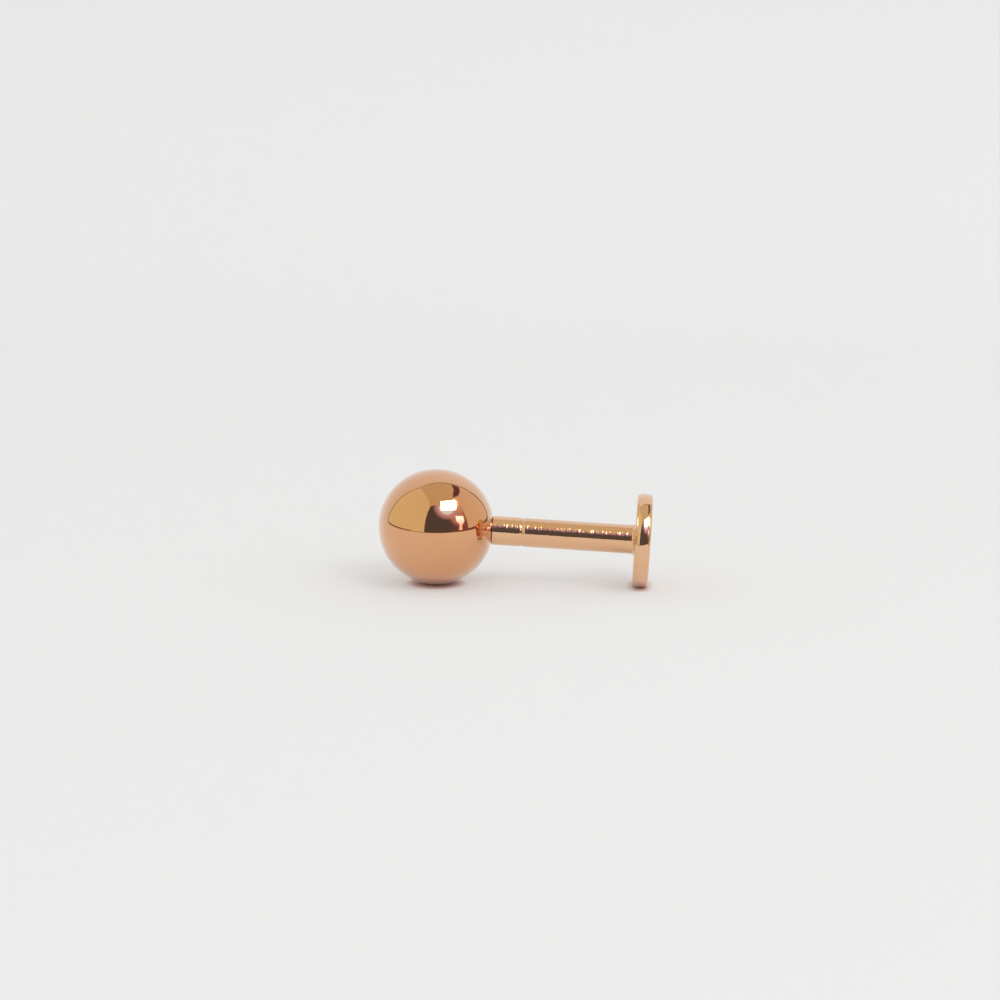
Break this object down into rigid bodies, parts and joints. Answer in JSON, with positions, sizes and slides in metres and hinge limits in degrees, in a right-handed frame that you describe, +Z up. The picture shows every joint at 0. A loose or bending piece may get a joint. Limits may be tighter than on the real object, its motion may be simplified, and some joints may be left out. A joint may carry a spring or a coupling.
{
  "type": "labret stud",
  "caption": "Body jewellery stud lying on its side: a polished ball screwed onto a straight round post with a flat round back, all in rose-gold-coloured steel.",
  "frame": {"origin": "on the table, under the middle of the stud's length", "axes": "+X along the stud from the ball to the flat back, +Z up from the table, the stud's own axis in the XZ plane"},
  "size_m": [0.0118, 0.005, 0.005],
  "materials": {
    "post_metal": "mirror-polished steel with a rose-gold-coloured coating",
    "ball_metal": "mirror-polished steel with a rose-gold-coloured coating"
  },
  "bodies": {
    "post": {"labret_post": "post_metal"},
    "ball": {"ball": "ball_metal"}
  },
  "joints": [
    {"name": "ball_unscrew", "type": "slide", "parent": "post", "child": "ball", "axis": [-0.9986, 0, 0.0535], "range_m": [0, 0.008]}
  ]
}
